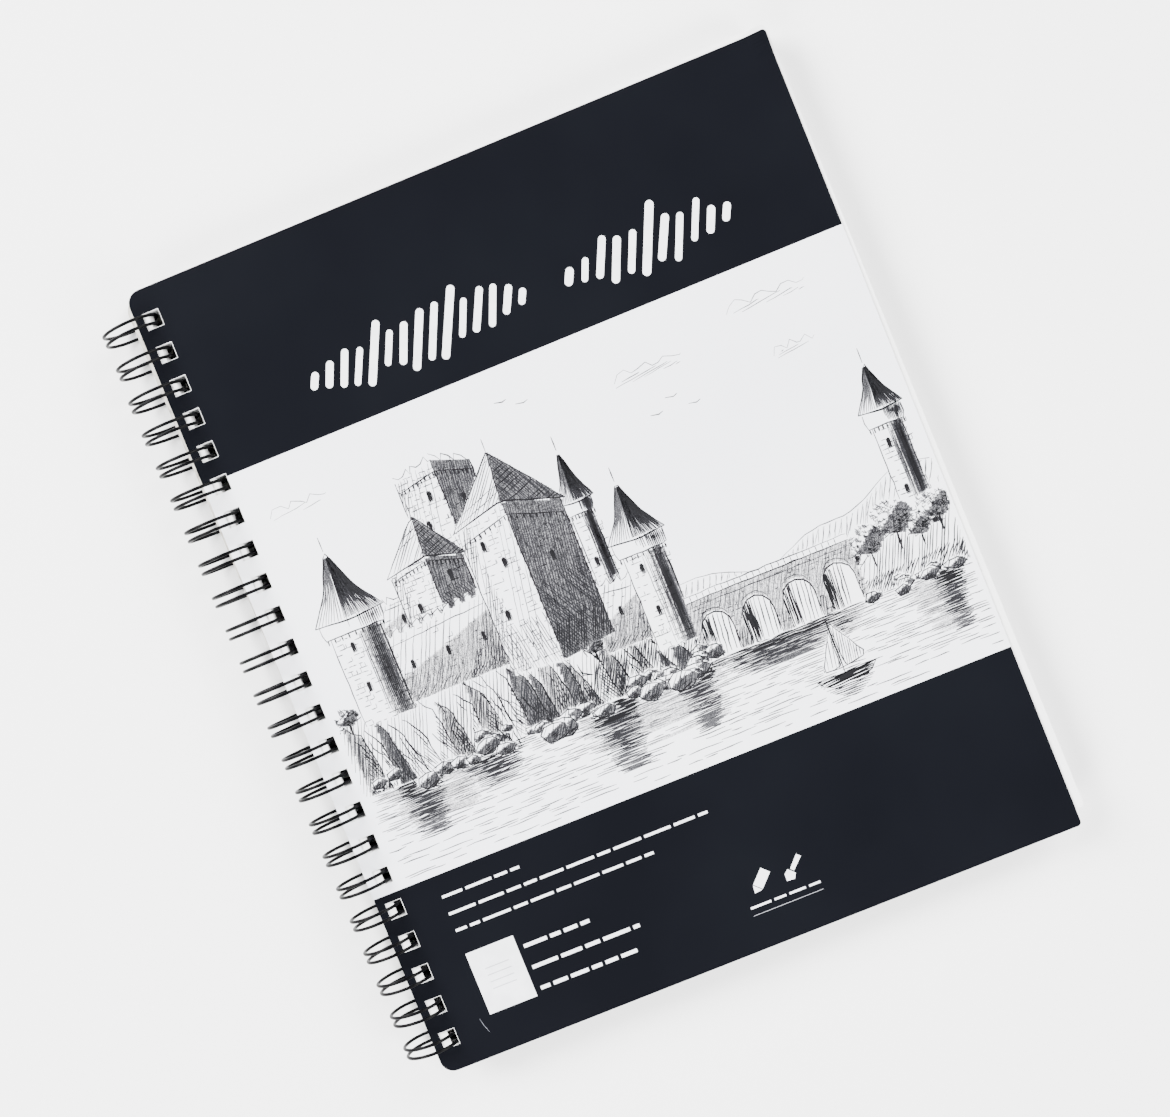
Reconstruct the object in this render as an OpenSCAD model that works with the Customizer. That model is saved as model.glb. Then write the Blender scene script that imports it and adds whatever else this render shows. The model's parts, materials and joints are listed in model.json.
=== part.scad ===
// A closed sketchbook with a double-loop wire binding: front cover, a hundred loose sheets, back
// board and twenty-three wire loops. It lies on its back, the spine along Y and the front cover up.

/* [Leaves] */
// Width of a cover and of a sheet, from the spine edge to the fore-edge
leaf_w = 245.5; // [150:0.1:300]
// Height of the two covers
cover_h = 303; // [300:0.1:330]
// Height of a sheet
sheet_h = 299; // [296:0.1:303]
// How far the sheets' middle stands above the middle of the hole row
sheet_rise = 1.9; // [-2:0.1:2]
// Radius of the two corners at the spine
corner_r = 5; // [2:0.5:6]
// Thickness of the front cover's card
front_t = 0.45; // [0.3:0.05:0.6]
// Thickness of the back board
back_t = 1; // [0.8:0.1:1.2]
// Thickness of one sheet of paper
sheet_t = 0.11; // [0.08:0.005:0.115]
// Distance from one sheet's underside to the next sheet's underside
sheet_pitch = 0.12; // [0.12:0.001:0.121]

/* [Punching] */
// Side of a square punched hole
hole_w = 6; // [5.8:0.1:6.4]
// Strip of card or paper between the spine edge and the holes
margin = 3.2; // [2.8:0.1:3.6]
// Distance from one hole to the next, which two loops to the inch set
hole_pitch = 12.7; // [12.5:0.1:12.9]

/* [Lie of the closed book] */
// Distance from the rings' axis to the near side of the front cover's holes
front_hole = 5.3; // [5:0.1:5.6]
// Clockwise turn of the front cover within its slack on the rings, in degrees
front_skew = 0.5; // [0:0.05:0.55]
// The same distance on the top sheet
top_hole = 7.4; // [6.6:0.1:7.6]
// The same distance on the bottom sheet
bottom_hole = 4.4; // [4:0.1:4.6]
// The same distance on the back board
back_hole = 2.35; // [2:0.05:2.6]

/* [Wire binding] */
// Radius of the rings, to the middle of the wire
ring_r = 10; // [9.95:0.01:10.05]
// Diameter of the coated wire
wire_d = 1.1; // [1:0.05:1.2]
// Distance between the two wires of one loop
wire_gap = 3.25; // [3:0.05:3.4]
// Radius of the wire's straight runs along the spine
run_r = 0.6; // [0.58:0.01:0.62]
// Angle of the closed end of each loop, measured from the fore-edge side upwards
seam_end = 270; // [266:1:271]
// Angle between the closed ends and the wire's run to the next loop
seam_angle = 8; // [8:1:9]

/* [Hidden] */
sheet_count = 100;
holes = 23;
sheets_per_node = 3;
// Air between a cover and the sheet next to it
cover_air = 0.05;
// Air at the middle of the run that joins two loops
joint_air = 0.01;
// How far a straight run reaches past the middle of the wire that it meets
run_over = 0.5;

hole_row = (holes - 1) * hole_pitch;

// Heights above the rings' axis, before the book is tilted
sheets_low = -(sheet_count * sheet_pitch) / 2 - 2.05;
back_low = sheets_low - cover_air - back_t;
front_low = sheets_low + sheet_count * sheet_pitch + cover_air;

// The rings stand on the table, and so does the back board's fore-edge
ring_height = ring_r + run_r;
back_edge = back_hole - margin + leaf_w;
back_reach = sqrt(back_edge * back_edge + back_low * back_low);
tilt = asin(ring_height / back_reach) - atan2(-back_low, back_edge);

// The middle of the book's outline, which is the origin
pivot = front_hole + hole_w / 2;
fore_edge = (top_hole - margin + leaf_w) * cos(tilt) + (front_low - cover_air) * sin(tilt);
head = cover_h / 2 * cos(front_skew) + (hole_w / 2 + margin - corner_r) * sin(front_skew);
tail = cover_h / 2 * cos(front_skew) + (leaf_w - margin - hole_w / 2) * sin(front_skew);
middle = [(fore_edge - ring_r - wire_d / 2) / 2, (head - tail) / 2, 0];

black = "#22252d";
paper = "#f4f4f6";
board = "#c9c6c0";
coated = "#15161a";

// Sheets are counted from the top, as the book is read. The first has a node of its own.
sheet_groups = (sheet_count - 1) / sheets_per_node;

function digits(n) = str(n < 100 ? "0" : "", n < 10 ? "0" : "", n);
function first_of(group) = 2 + group * sheets_per_node;
function group_name(group) = str(
    "sheets_", digits(first_of(group)), "_", digits(first_of(group) + sheets_per_node - 1)
);

// A quarter of a twelve-sided round, as points
function round_corner(x, y, from) = [
    for (a = [from:30:from + 90]) [x + corner_r * cos(a), y + corner_r * sin(a)]
];

// Carries a shape from the rings' own frame to the book's
module in_book() {
    translate([-middle[0], -middle[1], ring_height])
        rotate([0, tilt, 0])
            children();
}

// A flat leaf with its spine edge on x = 0, two round corners there and the row of square holes.
// lift is how far the leaf's middle stands above the middle of the hole row.
module leaf(height, thickness, lift = 0) {
    low = lift - height / 2;
    high = lift + height / 2;
    linear_extrude(thickness)
        difference() {
            polygon(concat(
                [[leaf_w, low], [leaf_w, high]],
                round_corner(corner_r, high - corner_r, 90),
                round_corner(corner_r, low + corner_r, 180)
            ));
            for (i = [0:holes - 1])
                translate([margin, i * hole_pitch - hole_row / 2 - hole_w / 2])
                    square(hole_w);
        }
}

// One sheet, counted from the top. The spine edges step back evenly from the bottom to the top.
module sheet(number) {
    below = sheet_count - number;
    near = bottom_hole + (top_hole - bottom_hole) * below / (sheet_count - 1);
    translate([near - margin, 0, sheets_low + below * sheet_pitch])
        leaf(sheet_h, sheet_t, sheet_rise);
}

module sheets(group) {
    color(paper)
        in_book()
            for (number = [first_of(group):first_of(group) + sheets_per_node - 1])
                sheet(number);
}

module sheet_001() {
    color(paper)
        in_book()
            sheet(1);
}

module front_cover() {
    color(black)
        in_book()
            translate([pivot, 0, front_low])
                rotate([0, 0, -front_skew])
                    translate([-hole_w / 2 - margin, 0, 0])
                        leaf(cover_h, front_t);
}

module back_cover() {
    color(board)
        in_book()
            translate([back_hole - margin, 0, back_low])
                leaf(cover_h, back_t);
}

// Places a piece of wire on the ring at an angle, y along the spine
module on_ring(angle, y) {
    translate([ring_r * cos(angle), y, ring_r * sin(angle)])
        children();
}

// A straight run along the spine, on the ring at an angle, from y = low to y = high
module run(angle, low, high) {
    on_ring(angle, low)
        rotate([-90, 0, 0])
            cylinder(r = run_r, h = high - low);
}

// One of the two wires of a loop: an eight-sided wire bent round nearly a whole circle
module ring(y) {
    translate([0, y, 0])
        rotate([90, 0, 0])
            rotate([0, 0, seam_end + seam_angle])
                rotate_extrude(angle = 360 - seam_angle)
                    translate([ring_r, 0])
                        circle(r = wire_d / 2, $fn = 8);
}

// A loop is two wires joined at their closed end. At the other end each runs on towards the next loop.
module loop() {
    root = seam_end + seam_angle;
    near = wire_gap / 2 - run_over;
    far = hole_pitch / 2 - joint_air;
    ring(-wire_gap / 2);
    ring(wire_gap / 2);
    run(seam_end, -wire_gap / 2 - run_over, wire_gap / 2 + run_over);
    run(root, -far, -near);
    run(root, near, far);
}

module binding_wire() {
    color(coated)
        in_book()
            for (i = [0:holes - 1])
                translate([0, i * hole_pitch - hole_row / 2, 0])
                    loop();
}

front_cover();
back_cover();
binding_wire();
sheet_001();
for (group = [0:sheet_groups - 1])
    sheets(group);
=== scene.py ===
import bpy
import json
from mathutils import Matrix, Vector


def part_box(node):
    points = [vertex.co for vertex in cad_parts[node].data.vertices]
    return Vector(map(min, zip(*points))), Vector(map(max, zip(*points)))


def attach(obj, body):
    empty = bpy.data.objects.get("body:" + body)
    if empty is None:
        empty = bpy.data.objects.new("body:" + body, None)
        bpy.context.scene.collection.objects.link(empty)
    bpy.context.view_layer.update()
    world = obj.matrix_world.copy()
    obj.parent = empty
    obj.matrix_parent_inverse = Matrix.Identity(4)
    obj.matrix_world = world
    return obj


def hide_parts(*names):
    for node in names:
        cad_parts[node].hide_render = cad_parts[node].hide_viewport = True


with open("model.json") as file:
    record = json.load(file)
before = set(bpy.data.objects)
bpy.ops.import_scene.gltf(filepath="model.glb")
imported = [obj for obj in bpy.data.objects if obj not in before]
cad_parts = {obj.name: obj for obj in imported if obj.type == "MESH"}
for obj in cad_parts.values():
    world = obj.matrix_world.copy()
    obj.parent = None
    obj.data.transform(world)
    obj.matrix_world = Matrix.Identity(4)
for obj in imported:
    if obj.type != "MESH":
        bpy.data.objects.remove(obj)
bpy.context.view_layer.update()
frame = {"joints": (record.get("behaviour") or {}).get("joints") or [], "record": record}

# A closed sketchbook with a double-loop wire binding, printed card cover and a hundred loose sheets.
# Lengths are in millimetres, and place() turns them into the frame's metres. u runs from the rings'
# axis towards the fore-edge, y along the spine towards the head, and w up from the rings' axis.

import json
import math
import random

import bpy
from mathutils import Vector
from mathutils.geometry import tessellate_polygon

MM = 0.001

# ---------- driving dimensions
LEAF_W = 245.5
COVER_H = 303.0
SHEET_H = 299.0
SHEET_RISE = 1.9
CORNER_R = 5.0
FORE_R = 1.5
FRONT_T = 0.45
BACK_T = 1.0
SHEET_T = 0.11
SHEET_PITCH = 0.12
SHEETS = 100
PER_NODE = 3
COVER_AIR = 0.05
SHEETS_DROP = 2.05

HOLES = 23
HOLE = 6.0
MARGIN = 3.2
PITCH = 12.7
ROW = (HOLES - 1) * PITCH

FRONT_HOLE = 5.3
FRONT_SKEW = math.radians(0.5)
TOP_HOLE = 7.4
BOTTOM_HOLE = 4.4
BACK_HOLE = 2.35

RING_R = 10.0
# Stouter than the CAD wire's 0.55, which looks too thin. Known fault: at 0.61 the wire
# cuts into the back board at rest. At 0.56 it touches nothing.
WIRE_R = 0.61
WIRE_GAP = 3.25
SEAM_END = 270.0
SEAM_ANGLE = 8.0

SHEETS_LOW = -SHEETS * SHEET_PITCH / 2 - SHEETS_DROP
BACK_LOW = SHEETS_LOW - COVER_AIR - BACK_T
FRONT_LOW = SHEETS_LOW + SHEETS * SHEET_PITCH + COVER_AIR

# The rings' axis, from the cover's hinge, and the book's tilt about it, which sets the board's edge down
AXIS = Vector(next(j for j in frame["joints"] if j["child"] == "front_cover")["pos_m"]) / MM
_wire_low, _wire_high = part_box("binding_wire")
AXIS.y = (_wire_low.y + _wire_high.y) / 2 / MM
_edge = BACK_HOLE - MARGIN + LEAF_W
TILT = math.asin(AXIS.z / math.hypot(_edge, BACK_LOW)) - math.atan2(-BACK_LOW, _edge)


def place(u, y, w):
    """A point of the book, in millimetres about the rings' axis, as a point of the frame in metres."""
    return Vector((
        AXIS.x + u * math.cos(TILT) + w * math.sin(TILT),
        AXIS.y + y,
        AXIS.z - u * math.sin(TILT) + w * math.cos(TILT),
    )) * MM


# ---------- camera, light and floor
def add_camera():
    """Nearly straight above the book, turned so that the spine leans to the left."""
    data = bpy.data.cameras.new("camera")
    data.sensor_width = 36.0
    data.lens = 55.9
    data.clip_start = 0.01
    camera = bpy.data.objects.new("camera", data)
    camera.rotation_mode = "YXZ"
    camera.rotation_euler = (math.radians(-2.54), math.radians(1.97), math.radians(-22.52))
    camera.location = (0.0312, 0.0208, 0.661)
    bpy.context.scene.collection.objects.link(camera)
    bpy.context.scene.camera = camera


def add_light(name, location, size, power):
    """A soft square light that faces the middle of the book."""
    data = bpy.data.lights.new(name, "AREA")
    data.shape = "SQUARE"
    data.size = size
    data.energy = power
    light = bpy.data.objects.new(name, data)
    light.location = location
    light.rotation_euler = (-Vector(location)).to_track_quat("-Z", "Y").to_euler()
    bpy.context.scene.collection.objects.link(light)


def add_world(strength):
    world = bpy.data.worlds.new("studio")
    bpy.context.scene.world = world
    world.use_nodes = True
    background = world.node_tree.nodes["Background"]
    background.inputs["Color"].default_value = (1.0, 1.0, 1.0, 1.0)
    background.inputs["Strength"].default_value = strength


# ---------- materials
def new_material(name, **sockets):
    """A node material whose Principled shader has these constant values."""
    material = bpy.data.materials.new(name)
    material.use_nodes = True
    shader = material.node_tree.nodes["Principled BSDF"]
    for socket, value in sockets.items():
        shader.inputs[socket.replace("_", " ")].default_value = value
    return material, material.node_tree, shader


def noise(tree, scale, detail=4.0, stretch=(1.0, 1.0, 1.0)):
    """A noise pattern in object space. scale counts features per metre."""
    where = tree.nodes.new("ShaderNodeTexCoord")
    mapping = tree.nodes.new("ShaderNodeMapping")
    mapping.inputs["Scale"].default_value = stretch
    pattern = tree.nodes.new("ShaderNodeTexNoise")
    pattern.inputs["Scale"].default_value = scale
    pattern.inputs["Detail"].default_value = detail
    tree.links.new(where.outputs["Object"], mapping.inputs["Vector"])
    tree.links.new(mapping.outputs["Vector"], pattern.inputs["Vector"])
    return pattern.outputs["Fac"]


def ramp(tree, value, stops):
    """A colour ramp over value. stops is [(position, colour), ...]."""
    node = tree.nodes.new("ShaderNodeValToRGB")
    elements = node.color_ramp.elements
    while len(elements) < len(stops):
        elements.new(0.5)
    for element, (position, colour) in zip(elements, stops):
        element.position = position
        element.color = (*colour, 1.0)
    tree.links.new(value, node.inputs["Fac"])
    return node.outputs["Color"]


def to_range(tree, value, low, high):
    node = tree.nodes.new("ShaderNodeMapRange")
    node.inputs["From Min"].default_value = 0.3
    node.inputs["From Max"].default_value = 0.7
    node.inputs["To Min"].default_value = low
    node.inputs["To Max"].default_value = high
    tree.links.new(value, node.inputs["Value"])
    return node.outputs["Result"]


def finish_shader(tree, shader, colour, grain, rough, strength, height):
    """Colour, roughness that follows the grain, and a bump of that height in millimetres."""
    bump = tree.nodes.new("ShaderNodeBump")
    bump.inputs["Strength"].default_value = strength
    bump.inputs["Distance"].default_value = height * MM
    tree.links.new(grain, bump.inputs["Height"])
    tree.links.new(colour, shader.inputs["Base Color"])
    tree.links.new(to_range(tree, grain, *rough), shader.inputs["Roughness"])
    tree.links.new(bump.outputs["Normal"], shader.inputs["Normal"])


def two_tone(name, dark, light, patches, grain, rough, strength, height, stretch=(1, 1, 1), **sockets):
    """A surface whose colour wanders between two tones in broad patches, over a fine grain."""
    material, tree, shader = new_material(name, **sockets)
    colour = ramp(tree, noise(tree, patches, 3.0), [(0.35, dark), (0.65, light)])
    finish_shader(tree, shader, colour, noise(tree, grain, 5.0, stretch), rough, strength, height)
    return material


def grainy(name, ink, stock, cover, grain, rough=(0.6, 0.75)):
    """Ink or graphite that catches only the tops of the card's grain. cover is the share that it hides."""
    material, tree, shader = new_material(name, Specular_IOR_Level=0.15)
    fine = noise(tree, grain, 2.0)
    edge = 0.5 + (cover - 0.5) * 0.4
    colour = ramp(tree, fine, [(edge - 0.05, ink), (edge + 0.05, stock)])
    finish_shader(tree, shader, colour, fine, rough, 0.2, 0.02)
    return material


black_ink = two_tone(
    "black_ink", (0.0026, 0.0029, 0.0043), (0.0034, 0.0038, 0.0054), 14, 2600, (0.55, 0.65), 0.15, 0.01,
    Specular_IOR_Level=0.015,
)
white_stock = two_tone(
    "white_stock", (0.78, 0.79, 0.845), (0.83, 0.84, 0.875), 10, 2400, (0.42, 0.55), 0.25, 0.02,
)
card_core = two_tone("card_core", (0.72, 0.72, 0.72), (0.86, 0.86, 0.85), 600, 5000, (0.8, 0.95), 0.6, 0.05)
card_inside = two_tone(
    "card_inside", (0.74, 0.74, 0.73), (0.80, 0.80, 0.79), 30, 3200, (0.7, 0.85), 0.4, 0.03,
)
drawing_paper = two_tone(
    "drawing_paper", (0.80, 0.80, 0.80), (0.86, 0.86, 0.86), 18, 1500, (0.8, 0.95), 0.5, 0.06,
)
# Grey dashes of the tear lines: painted shade, standing for the dark inside the perforation's slits.
painted_slit_shade = two_tone(
    "painted_slit_shade", (0.30, 0.30, 0.30), (0.42, 0.42, 0.42), 900, 4000, (0.9, 1.0), 0.5, 0.05,
)
white_ink = two_tone("white_ink", (0.72, 0.73, 0.76), (0.82, 0.83, 0.86), 160, 2600, (0.45, 0.6), 0.3, 0.02)
grey_ink = two_tone("grey_ink", (0.36, 0.37, 0.40), (0.44, 0.45, 0.48), 160, 2600, (0.45, 0.6), 0.3, 0.02)
scuff = two_tone("scuff", (0.10, 0.11, 0.13), (0.20, 0.21, 0.24), 900, 2600, (0.6, 0.8), 0.3, 0.02)
nylon = two_tone(
    "nylon_coat", (0.0012, 0.0012, 0.0016), (0.0024, 0.0024, 0.0030), 300, 5200, (0.28, 0.36), 0.15, 0.01,
    Specular_IOR_Level=0.05,
)
studio_floor = two_tone(
    "studio_floor", (0.90, 0.90, 0.90), (0.92, 0.92, 0.92), 2, 900, (0.8, 0.9), 0.05, 0.05,
)


def make_greyboard():
    """Recycled board: grey, with short light and dark fibres."""
    material, tree, shader = new_material("greyboard")
    fibres = noise(tree, 900, 6.0, (1.0, 0.35, 1.0))
    colour = ramp(tree, fibres, [
        (0.30, (0.23, 0.21, 0.19)),
        (0.45, (0.47, 0.45, 0.41)),
        (0.60, (0.52, 0.50, 0.46)),
        (0.72, (0.70, 0.68, 0.63)),
    ])
    finish_shader(tree, shader, colour, fibres, (0.85, 0.98), 0.6, 0.08)
    return material


greyboard = make_greyboard()
GRAPHITE = {
    "wash": grainy("pencil_wash", (0.30, 0.30, 0.32), (0.58, 0.58, 0.60), 0.5, 2400),
    "shade": grainy("pencil_shade", (0.045, 0.045, 0.050), (0.17, 0.17, 0.18), 0.6, 2400),
    "light": grainy("pencil_light", (0.030, 0.030, 0.034), (0.13, 0.13, 0.14), 0.65, 3800),
    "mid": grainy("pencil_mid", (0.008, 0.008, 0.010), (0.035, 0.035, 0.04), 0.7, 3800),
    "dark": grainy("pencil_dark", (0.002, 0.002, 0.003), (0.008, 0.008, 0.010), 0.75, 3800),
}


# ---------- leaves
def stops(fixed, step):
    """The fixed values in order, with more between them so that no gap is wider than step."""
    fixed = sorted(set(fixed))
    out = fixed[:1]
    for a, b in zip(fixed, fixed[1:]):
        parts = max(1, math.ceil((b - a) / step))
        out += [a + (b - a) * k / parts for k in range(1, parts + 1)]
    return out


def hole_middle(i):
    """The middle of hole i, counted from the head, along the spine."""
    return ROW / 2 - i * PITCH


def hole_at(x, y, border=0.0):
    """Whether a point of a leaf lies in a hole, or within border of one on the fore-edge side, above or
    below."""
    if not MARGIN < x < MARGIN + HOLE + border:
        return False
    i = round((ROW / 2 - y) / PITCH)
    return 0 <= i < HOLES and abs(y - hole_middle(i)) < HOLE / 2 + border


def rounded_corner(x, y, low, high):
    """Moves a point of a rectangle's grid so that the rectangle's corners come out round."""
    r = CORNER_R if x < LEAF_W / 2 else FORE_R
    inward = x if x < LEAF_W / 2 else LEAF_W - x
    upward = min(high - y, y - low)
    if inward >= r or upward >= r:
        return x, y
    a = 1 - inward / r
    b = 1 - upward / r
    inward = r - r * a * math.sqrt(1 - b * b / 2)
    upward = r - r * b * math.sqrt(1 - a * a / 2)
    return (
        inward if x < LEAF_W / 2 else LEAF_W - inward,
        high - upward if y > (low + high) / 2 else low + upward,
    )


def add_leaf(verts, faces, slots, height, rise, thickness, put, paint, step, rim=0.0, bands=()):
    """Adds a flat leaf with its punched holes to the lists. put(x, y, w) places a point of the leaf, and
    paint(x, y) is the material of its upper face there; the lower face is 1 and the cut edges are 2."""
    low, high = rise - height / 2, rise + height / 2
    xs = [0.0, CORNER_R / 4, CORNER_R / 2, MARGIN, CORNER_R, MARGIN + HOLE, LEAF_W - FORE_R, LEAF_W]
    xs += [MARGIN + HOLE + rim, STRIP_END, LEAF_W - FORE_R / 2]
    ys = [low, high, *bands]
    for d in (FORE_R / 2, FORE_R, CORNER_R / 2, CORNER_R * 0.75, CORNER_R):
        ys += [low + d, high - d]
    for i in range(HOLES):
        middle = hole_middle(i)
        ys += [middle - HOLE / 2, middle + HOLE / 2, middle - HOLE / 2 - rim, middle + HOLE / 2 + rim]
    xs, ys = stops([round(x, 4) for x in xs], step), stops([round(y, 4) for y in ys], step)
    solid = {
        (i, j)
        for i in range(len(xs) - 1)
        for j in range(len(ys) - 1)
        if not hole_at((xs[i] + xs[i + 1]) / 2, (ys[j] + ys[j + 1]) / 2)
    }
    index = {}

    def corner(i, j, upper):
        if (i, j, upper) not in index:
            index[i, j, upper] = len(verts)
            x, y = rounded_corner(xs[i], ys[j], low, high)
            verts.append(put(x, y, thickness if upper else 0.0))
        return index[i, j, upper]

    for i, j in sorted(solid):
        around = [(i, j), (i + 1, j), (i + 1, j + 1), (i, j + 1)]
        faces.append([corner(a, b, True) for a, b in around])
        slots.append(paint((xs[i] + xs[i + 1]) / 2, (ys[j] + ys[j + 1]) / 2))
        faces.append([corner(a, b, False) for a, b in reversed(around)])
        slots.append(1)
        beside = [(i, j - 1), (i + 1, j), (i, j + 1), (i - 1, j)]
        for k in range(4):
            if beside[k] not in solid:
                a, b = around[k], around[(k + 1) % 4]
                faces.append([corner(*b, True), corner(*a, True), corner(*a, False), corner(*b, False)])
                slots.append(2)


def make_object(name, verts, faces, slots, materials, smooth=False):
    mesh = bpy.data.meshes.new(name)
    mesh.from_pydata([tuple(v) for v in verts], [], faces)
    for material in materials:
        mesh.materials.append(material)
    mesh.polygons.foreach_set("material_index", slots)
    mesh.polygons.foreach_set("use_smooth", [smooth] * len(faces))
    mesh.update()
    piece = bpy.data.objects.new(name, mesh)
    bpy.context.scene.collection.objects.link(piece)
    return piece


# ---------- front cover
HEAD_INK = 73.4
FOOT_INK = 234.4
BAND_TOP = COVER_H / 2 - HEAD_INK
BAND_BOTTOM = COVER_H / 2 - FOOT_INK
# White card round each hole, and the corner that lifts: its reach along the edges and its steepness
RIM = 0.14
EAR = 9.0
EAR_RISE = 0.09
PIVOT_U = FRONT_HOLE + HOLE / 2


def cover_put(x, y, w):
    """A point of the front cover: x from the spine edge, y from the middle of the holes, w above its
    underside. The cover is turned a little on the rings, and its outer top corner lifts."""
    fold = x - LEAF_W + y - COVER_H / 2 + EAR
    lift = EAR_RISE * max(0.0, fold) ** 1.5
    x -= MARGIN + HOLE / 2
    c, s = math.cos(FRONT_SKEW), math.sin(FRONT_SKEW)
    return place(PIVOT_U + x * c + y * s, y * c - x * s, FRONT_LOW + w + lift)


def cover_paint(x, y):
    """Upper face: 3 is the white card along the punched edges, 4 the white band, 0 the black ink."""
    if hole_at(x, y, RIM):
        return 3
    return 4 if BAND_BOTTOM < y < BAND_TOP else 0


def make_front_cover():
    verts, faces, slots = [], [], []
    bands = (BAND_TOP, BAND_BOTTOM)
    add_leaf(verts, faces, slots, COVER_H, 0.0, FRONT_T, cover_put, cover_paint, 6.0, RIM, bands)
    materials = [black_ink, card_inside, card_core, card_core, white_stock]
    cover = make_object("cover_card", verts, faces, slots, materials)
    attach(cover, "front_cover")
    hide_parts("front_cover")


# ---------- sheets and back board
# How far from the spine edge the sheets' pulled holes still show
STRIP_END = 30.0


def punching_drift(level):
    """How far the holes of the sheets at a height lie towards the fore-edge, as (at the middle, at the head
    more than at the middle). The upper sheets were punched and pulled out of true."""
    bulge = max(0.0, 1.0 + level / 4.0) if level < 0 else 1.0 - level / 6.0
    return 1.2 * bulge, 1.5 * bulge


def sheet_put(number, chance):
    """Where a sheet lies, counted from the top: its step back from the one below, and a little disorder."""
    below = SHEETS - number
    near = BOTTOM_HOLE + (TOP_HOLE - BOTTOM_HOLE) * below / (SHEETS - 1) - MARGIN
    near += chance.uniform(-0.06, 0.06)
    along = chance.uniform(-0.12, 0.12)
    turn = math.radians(chance.uniform(-0.015, 0.015))
    level = SHEETS_LOW + below * SHEET_PITCH
    drift, slant = punching_drift(level)

    def put(x, y, w):
        share = x / MARGIN if x < MARGIN else min(1.0, (STRIP_END - x) / (STRIP_END - MARGIN - HOLE))
        shift = max(0.0, share) * (drift + slant * y / (ROW / 2))
        return place(near + x + shift + y * turn, along + y - x * turn, level + w)

    return put


def make_sheets(name, node, body, numbers, chance):
    verts, faces, slots = [], [], []
    for number in numbers:
        put = sheet_put(number, chance)
        add_leaf(verts, faces, slots, SHEET_H, SHEET_RISE, SHEET_T, put, lambda x, y: 0, 60.0)
    piece = make_object(name, verts, faces, [0] * len(faces), [drawing_paper])
    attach(piece, body)
    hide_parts(node)


def make_block():
    """The first sheet, then three sheets for each node of the frame."""
    chance = random.Random(7)
    make_sheets("leaf_001", "sheet_001", "first_sheet", [1], chance)
    for body in ("upper_sheets", "middle_sheets", "lower_sheets"):
        for node in frame["record"]["behaviour"]["bodies"][body]:
            first = int(node.split("_")[1])
            make_sheets("leaves_" + node[7:], node, body, range(first, first + PER_NODE), chance)


# A torn-out sheet is nine inches wide
TEAR_LINE = LEAF_W - 228.6
TEAR_STEP = 1.1
TEAR_CUT = 0.55
TEAR_HALF = 0.06
TEAR_LIFT = 0.006


def make_tear_line_shade(name, body, number, upper):
    """A dotted tear line on the upper or lower face of a sheet: grey dashes of painted shade, standing for
    the dark inside the slits.
    """
    put = sheet_put(number, random.Random(number))
    height = SHEET_T + TEAR_LIFT if upper else -TEAR_LIFT
    verts, faces = [], []
    y = SHEET_RISE - SHEET_H / 2 + 1.0
    while y < SHEET_RISE + SHEET_H / 2 - 1.0:
        start = len(verts)
        for x, dy in ((-TEAR_HALF, 0), (TEAR_HALF, 0), (TEAR_HALF, TEAR_CUT), (-TEAR_HALF, TEAR_CUT)):
            verts.append(put(TEAR_LINE + x, y + dy, height))
        order = range(start, start + 4)
        faces.append(list(order) if upper else list(reversed(order)))
        y += TEAR_STEP
    piece = make_object(name, verts, faces, [0] * len(faces), [painted_slit_shade])
    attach(piece, body)


def make_back_board():
    def put(x, y, w):
        return place(BACK_HOLE - MARGIN + x, y, BACK_LOW + w)

    verts, faces, slots = [], [], []
    add_leaf(verts, faces, slots, COVER_H, 0.0, BACK_T, put, lambda x, y: 0, 12.0)
    board = make_object("back_board", verts, faces, [0] * len(faces), [greyboard])
    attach(board, "back_cover")
    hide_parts("back_cover")


# ---------- wire binding
SIDES = 12
BEND = 0.85
SEAM_ROOT = SEAM_END + SEAM_ANGLE
CLOSED_END = SEAM_END + 360.0
# Set from the photo. How far the end loops lean along the spine, by the loop's number from the head.
# The photo's lean more, but then they cut into turned leaves.
LEANS = {0: -1.0, 1: -0.95, 2: -0.6, 20: 0.4, 21: 0.9, 22: 1.0}
# Set from the photo. How far each loop's free side bulges past the ring, from the head on: the loops
# near the head are open a little wider.
BULGES = [0.2, 0.3, 0.9, 1.0, 0.85, 0.6, 0.5, 0.5, 0.45, 0.5, 0.4, 0.35, 0.2]


def unrolled_path():
    """The wire's whole path on the unrolled ring, as (angle in degrees, y) corners with the loop's number."""
    corners = []
    half = WIRE_GAP / 2
    for i in range(HOLES):
        y = hole_middle(i)
        if i == 0:
            corners.append((SEAM_ROOT, y + PITCH / 2, i))
        corners += [
            (SEAM_ROOT, y + half, i),
            (CLOSED_END, y + half, i),
            (CLOSED_END, y - half, i),
            (SEAM_ROOT, y - half, i),
        ]
        if i == HOLES - 1:
            corners.append((SEAM_ROOT, y - PITCH / 2, i))
    return corners


def round_path(corners):
    """Fills the corners with quarter rounds and the long stretches with points every few degrees."""
    per_degree = math.radians(1.0) * RING_R
    flat = [(angle * per_degree, y, i) for angle, y, i in corners]
    out = [flat[0]]
    for before, here, after in zip(flat, flat[1:], flat[2:]):
        arrive = Vector((here[0] - before[0], here[1] - before[1])).normalized()
        leave = Vector((after[0] - here[0], after[1] - here[1])).normalized()
        corner = Vector(here[:2])
        centre = corner - arrive * BEND + leave * BEND
        for k in range(7):
            turn = math.radians(15.0 * k)
            point = centre - leave * BEND * math.cos(turn) + arrive * BEND * math.sin(turn)
            out.append((point.x, point.y, here[2]))
    out.append(flat[-1])
    filled = out[:1]
    for a, b in zip(out, out[1:]):
        parts = max(1, round(abs(b[0] - a[0]) / (6.0 * per_degree)))
        filled += [(a[0] + (b[0] - a[0]) * k / parts, a[1] + (b[1] - a[1]) * k / parts, b[2])
                   for k in range(1, parts + 1)]
    return [(s / per_degree, y, i) for s, y, i in filled]


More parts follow.
